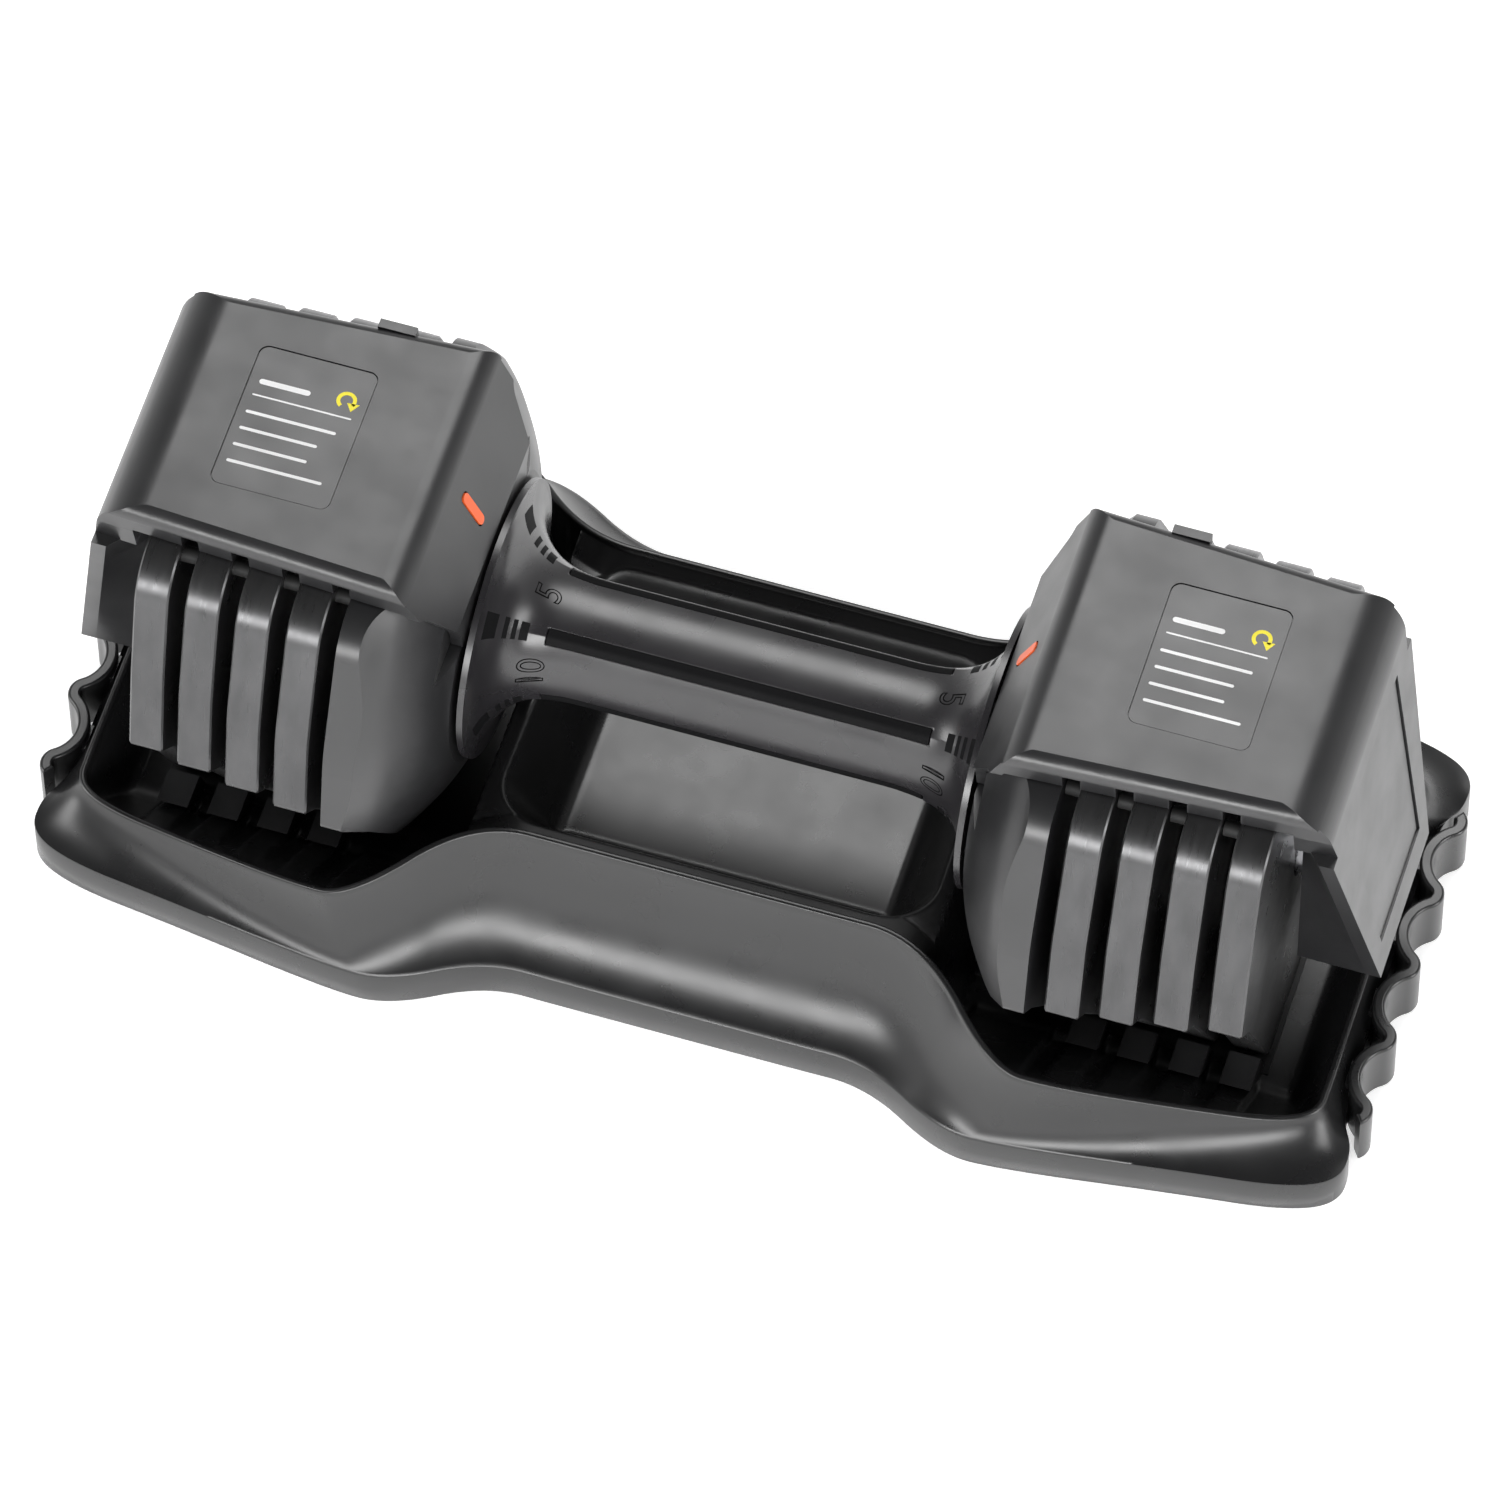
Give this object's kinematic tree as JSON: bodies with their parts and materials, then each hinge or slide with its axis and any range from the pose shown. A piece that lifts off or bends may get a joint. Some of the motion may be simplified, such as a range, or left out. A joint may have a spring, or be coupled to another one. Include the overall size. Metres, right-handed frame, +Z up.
{
  "type": "adjustable dumbbell",
  "caption": "Adjustable dumbbell on its tray: twist the grip to hook weight plates under two hooded heads, then lift it out.",
  "frame": {"origin": "on the floor under the middle of the handle", "axes": "+X along the handle, +Y to the back, +Z up"},
  "size_m": [0.3952, 0.1738, 0.1505],
  "materials": {
    "housing_plastic": "satin moulded dark grey plastic",
    "tray_plastic": "satin moulded black plastic",
    "plate_paint": "satin dark grey paint on steel",
    "grip_plastic": "smooth dark gunmetal",
    "strip_plastic": "gloss black inlay",
    "marker_orange": "orange",
    "label_film": "dark film with a plain pictogram",
    "steel": "turned steel",
    "bush_bronze": "sintered bush",
    "disc_nylon": "black glass-filled nylon",
    "rubber": "matte black rubber"
  },
  "bodies": {
    "tray": {"tray_shell": "tray_plastic", "cradle_left": "tray_plastic", "end_grip_left": "tray_plastic", "cradle_right": "tray_plastic", "end_grip_right": "tray_plastic", "rubber_feet": "rubber", "tray_screws": "steel"},
    "plates_4": {"plate_left_4": "plate_paint", "plate_right_4": "plate_paint", "spacer_pegs_4": "rubber"},
    "plates_3": {"plate_left_3": "plate_paint", "plate_right_3": "plate_paint", "spacer_pegs_3": "rubber"},
    "plates_2": {"plate_left_2": "plate_paint", "plate_right_2": "plate_paint", "spacer_pegs_2": "rubber"},
    "plates_1": {"plate_left_1": "plate_paint", "plate_right_1": "plate_paint", "spacer_pegs_1": "rubber"},
    "frame": {"core_rod": "steel", "hood_left": "housing_plastic", "end_panel_left": "housing_plastic", "inner_housing_left": "housing_plastic", "label_plate_left": "label_film", "index_marker_left": "marker_orange", "end_nut_left": "steel", "washers_left": "steel", "bush_left": "bush_bronze", "hood_screws_left": "steel", "detent_ball_left": "steel", "detent_spring_left": "steel", "hood_right": "housing_plastic", "end_panel_right": "housing_plastic", "inner_housing_right": "housing_plastic", "label_plate_right": "label_film", "index_marker_right": "marker_orange", "end_nut_right": "steel", "washers_right": "steel", "bush_right": "bush_bronze", "hood_screws_right": "steel", "detent_ball_right": "steel", "detent_spring_right": "steel"},
    "handle": {"grip": "grip_plastic", "grip_strips": "strip_plastic", "selector_tube": "steel", "flange_ring_left": "grip_plastic", "detent_collar_left": "steel", "selector_disc_left_1": "disc_nylon", "selector_disc_left_2": "disc_nylon", "selector_disc_left_3": "disc_nylon", "selector_disc_left_4": "disc_nylon", "flange_ring_right": "grip_plastic", "detent_collar_right": "steel", "selector_disc_right_1": "disc_nylon", "selector_disc_right_2": "disc_nylon", "selector_disc_right_3": "disc_nylon", "selector_disc_right_4": "disc_nylon"}
  },
  "joints": [
    {"name": "lift_at_25", "type": "slide", "parent": "tray", "child": "plates_4", "axis": [0, 0, 1], "range_m": [0, 0.16]},
    {"name": "lift_at_20", "type": "slide", "parent": "plates_4", "child": "plates_3", "axis": [0, 0, 1], "range_m": [0, 0.16]},
    {"name": "lift_at_15", "type": "slide", "parent": "plates_3", "child": "plates_2", "axis": [0, 0, 1], "range_m": [0, 0.16]},
    {"name": "lift_at_10", "type": "slide", "parent": "plates_2", "child": "plates_1", "axis": [0, 0, 1], "range_m": [0, 0.16]},
    {"name": "lift_at_5", "type": "slide", "parent": "plates_1", "child": "frame", "axis": [0, 0, 1], "range_m": [0, 0.16]},
    {"name": "dial", "type": "hinge", "parent": "frame", "child": "handle", "pos_m": [0, 0, 0.08], "axis": [-1, 0, 0], "range_deg": [0, 288]}
  ]
}
